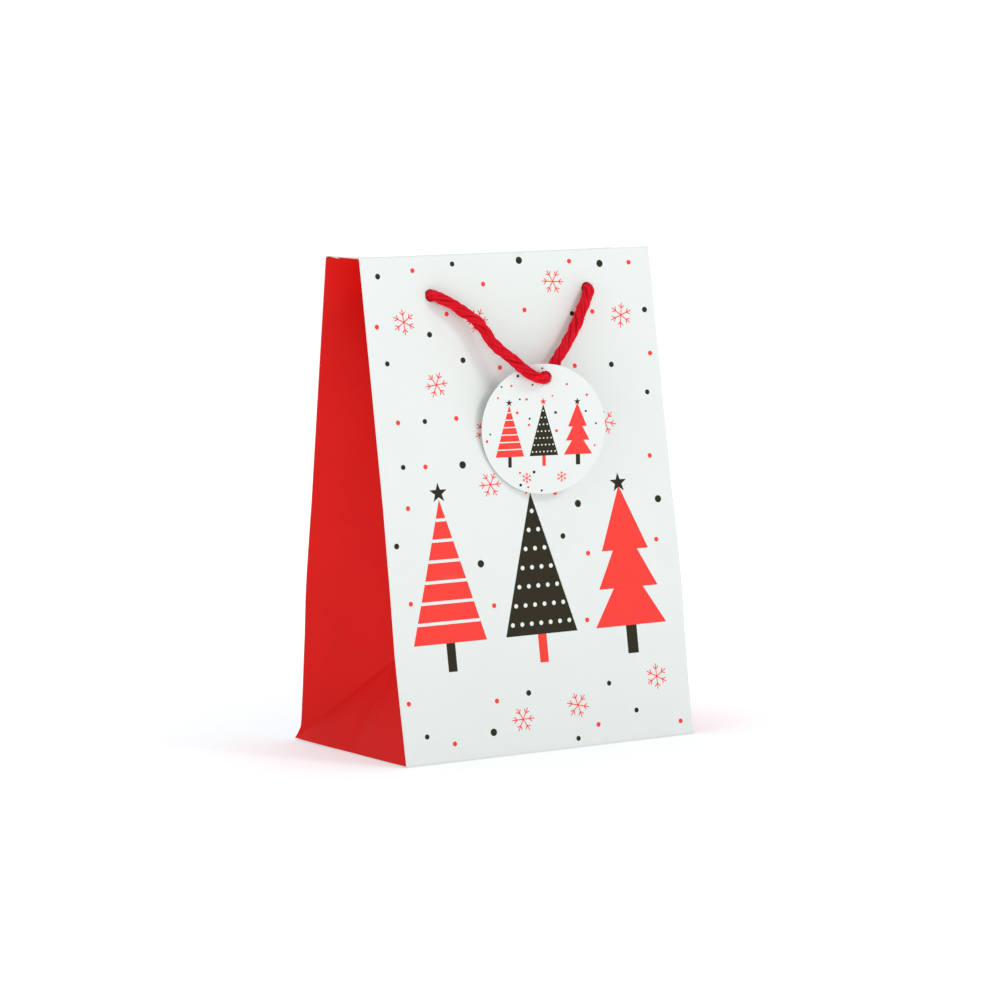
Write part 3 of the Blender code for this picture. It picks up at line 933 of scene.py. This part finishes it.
def add_tube(build, centres, frames, wide, thick, sides, length_uv):
    """Adds a closed tube to build = (points, faces, uvs); frames give its two cross axes."""
    points, faces, uvs = build
    start = len(points)
    for i, (centre, (across, outward)) in enumerate(zip(centres, frames)):
        taper = 0.55 if i in (0, len(centres) - 1) else 1.0
        for k in range(sides):
            angle = 2 * math.pi * k / sides
            points.append(centre + across * (math.cos(angle) * wide * taper)
                          + outward * (math.sin(angle) * thick * taper))
    for i in range(len(centres) - 1):
        for k in range(sides):
            j = (k + 1) % sides
            a, b = start + i * sides + k, start + i * sides + j
            faces.append((a, b, b + sides, a + sides))
            u0, u1 = length_uv * i, length_uv * (i + 1)
            v0, v1 = k * wide * 0.8, (k + 1) * wide * 0.8
            uvs.append(((u0, v0), (u0, v1), (u1, v1), (u1, v0)))
    for ring, flip in ((start, True), (start + (len(centres) - 1) * sides, False)):
        cap = tuple(ring + k for k in range(sides))
        faces.append(tuple(reversed(cap)) if flip else cap)
        uvs.append(tuple((0.0, 0.0) for _ in cap))


def twisted_rope(name, route, width, seed, fuzz=0):
    """A soft twist of eight strands round a core, with loose fibres."""
    draw = random.Random(seed)
    spacing = 0.0009         # between the rings of each strand
    line = even_points(smooth_curve(route, 8), spacing)
    frames = carried_frames(line)
    ends = len(line) - 1
    radius = width / 2
    ring = radius * 0.68     # the strands' distance from the rope's middle
    pitch = width * 5.5      # the rope's length in one full turn of the twist
    build = ([], [], [])
    line = [p + Vector((noise.noise(p * 160), noise.noise(p * 160 + Vector((9, 0, 0))),
                        noise.noise(p * 160 + Vector((0, 9, 0))))) * (width * 0.05)
            for p in line]
    add_tube(build, line, frames, ring * 0.80, ring * 0.80, 8, spacing)
    for strand in range(ROPE_STRANDS):
        phase = 2 * math.pi * strand / ROPE_STRANDS
        centres, cross = [], []
        for i, (centre, (u, v)) in enumerate(zip(line, frames)):
            stray = noise.noise(Vector((i * 0.07, strand * 2.3, seed + 5.5)))
            turn = phase - 2 * math.pi * i * spacing / pitch + 0.55 * stray
            lump = 1 + 0.26 * noise.noise(Vector((i * 0.13, strand * 3.1, seed)))
            outward = u * math.cos(turn) + v * math.sin(turn)
            around = v * math.cos(turn) - u * math.sin(turn)
            centres.append(centre + outward * (ring * lump))
            cross.append((around, outward))
        add_tube(build, centres, cross, radius * 0.31, radius * 0.29, 8, spacing * 1.4)
    for _ in range(fuzz):
        i = draw.randrange(2, ends - 2)
        u, v = frames[i]
        turn = draw.uniform(0, 2 * math.pi)
        outward = u * math.cos(turn) + v * math.sin(turn)
        along = (line[i + 1] - line[i]).normalized() * draw.choice((-1, 1))
        root = line[i] + outward * radius * 0.85
        reach = draw.uniform(0.0005, 0.0017)
        bend = along * draw.uniform(0.2, 1.0) + (v * math.cos(turn) - u * math.sin(turn)) \
            * draw.uniform(-0.6, 0.6)
        hair = [root + outward * (reach * t) + bend * (reach * t * t) for t in (0, 0.5, 1.0)]
        add_tube(build, hair, [(u, v)] * 3, 0.00004, 0.00004, 3, 0.0005)
    points, faces, uvs = build
    mesh = bpy.data.meshes.new(name)
    mesh.from_pydata(points, [], faces)
    layer = mesh.uv_layers.new(name="strand_length")
    flat = [c for face in uvs for corner in face for c in corner]
    layer.data.foreach_set("uv", flat)
    mesh.update()
    thing = new_object(name, mesh, (rope_cotton,))
    return thing, line


def flat_wall_point(side, x, up, out):
    """A point in front of the flat CAD wall, where the cords' CAD solids lie."""
    share = up / WALL_LENGTH
    y = HALF_DEPTH - LEAN * share + out * RISE / WALL_LENGTH
    z = RISE * share + out * LEAN / WALL_LENGTH
    return Vector((x, side * y, z))


def handle_rope(side, route, seed):
    name = SIDES[side]
    piece, line = twisted_rope(name + "_rope", route, ROPE_WIDTH, seed, ROPE_FIBRES)
    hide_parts(name + "_handle_rope")
    tuple(flat_wall_point(side, -HOLE_X, HOLE_UP, 0))
    [tuple(p) for p in line]
    top = flat_wall_point(side, 0, HOLE_UP, 0)
    tuple(flat_wall_point(side, 0, HOLE_UP - 0.008, 0))
    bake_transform(piece)


def knot_pieces(side):
    """An overhand knot of thinner rope behind each hole, drawn as a trefoil."""
    name = SIDES[side]
    for hand, hand_name in HANDS.items():
        node = f"{name}_{hand_name}_rope_knot"
        low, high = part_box(node)
        inward = Vector((0, -side, 0))
        middle = (low + high) / 2 + inward * KNOT_SET_BACK
        size = KNOT_SIZE
        loop = []
        for i in range(25):
            t = 2 * math.pi * (i / 24 * 0.94 + 0.03)
            loop.append(middle + Vector((size * (math.sin(t) + 2 * math.sin(2 * t)),
                                         inward.y * size * 1.3 * -math.sin(3 * t),
                                         size * (math.cos(t) - 2 * math.cos(2 * t)))))
        piece, _ = twisted_rope(f"{name}_{hand_name}_knot", loop, KNOT_ROPE_WIDTH,
                                20 + 3 * hand + side, KNOT_FIBRES)
        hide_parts(node)
        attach(piece, name + "_wall")


def card_strip(side):
    """The strip of card behind a wall's holes, between the wall and its hem."""
    name = SIDES[side] + "_reinforcement"
    low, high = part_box(name)
    down, top = low.z * WALL_LENGTH / RISE, high.z * WALL_LENGTH / RISE - 0.0002
    half = high.x
    xs, levels = steps(-half, half, GRID), steps(down, top, GRID)
    outline = [(x, down) for x in xs] + [(half, v) for v in levels[1:]]
    outline += [(x, top) for x in reversed(xs[:-1])] + [(-half, v) for v in reversed(levels[1:-1])]
    holes = [disc(hand * HOLE_X, HOLE_UP, HOLE_RADIUS, 28) for hand in HANDS]
    grid = [(x, v) for x in xs[1:-1] for v in levels[1:-1]
            if all(math.hypot(x - hand * HOLE_X, v - HOLE_UP) > 0.004 for hand in HANDS)]
    piece = printed_sheet(SIDES[side] + "_card_strip", outline, holes, [], grid,
                          lambda u, v, d: wall_point(side, u, v, CARD_LAYER + d), CARD_THICKNESS,
                          (grey_board, grey_board, grey_board), lambda a, b: CUT_EDGE)
    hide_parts(name)
    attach(piece, SIDES[side] + "_wall")


def seam_flap():
    """The gusset's glued edge, inside the back wall."""
    low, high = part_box("glue_flap")
    outer = max(abs(low.x), abs(high.x)) - 0.0012
    inner = min(abs(low.x), abs(high.x))
    hand = RIGHT if high.x > 0 else LEFT
    xs = sorted(hand * x for x in steps(inner, outer, 0.004))
    ups = steps(low.z * WALL_LENGTH / RISE + 0.003, high.z * WALL_LENGTH / RISE, 0.006)
    piece = grid_sheet("side_seam", xs, ups,
                       lambda u, v, d: wall_point(BACK, u, v, PAPER + 0.00015 + d), PAPER,
                       (satin_red, inside_white, cut_edge))
    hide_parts("glue_flap")
    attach(piece, "back_wall")


def carried_over_nodes():
    """Materials for the CAD nodes that stay: the bottom flaps and the board."""
    looks = {"front_bottom_flap": satin_white, "back_bottom_flap": satin_white,
             "base_board": grey_board}
    for node, material in looks.items():
        mesh = frame["nodes"][node].data
        mesh.materials.clear()
        mesh.materials.append(material)


# ---------------------------------------------------------------- build
aim_camera()
build_studio()
front_route = [flat_wall_point(FRONT, *p) for p in FRONT_ROUTE]
back_half = [flat_wall_point(BACK, *p) for p in BACK_ROUTE]
back_route = back_half + [Vector((-p.x, p.y, p.z)) for p in reversed(back_half[:-1])]
handle_rope(FRONT, front_route, 3)
handle_rope(BACK, back_route, 5)
for wall_side in SIDES:
    wall_piece(wall_side)
    card_strip(wall_side)
    knot_pieces(wall_side)
gusset_pieces()
base_fold_pieces()
tag_piece()
seam_flap()
carried_over_nodes()
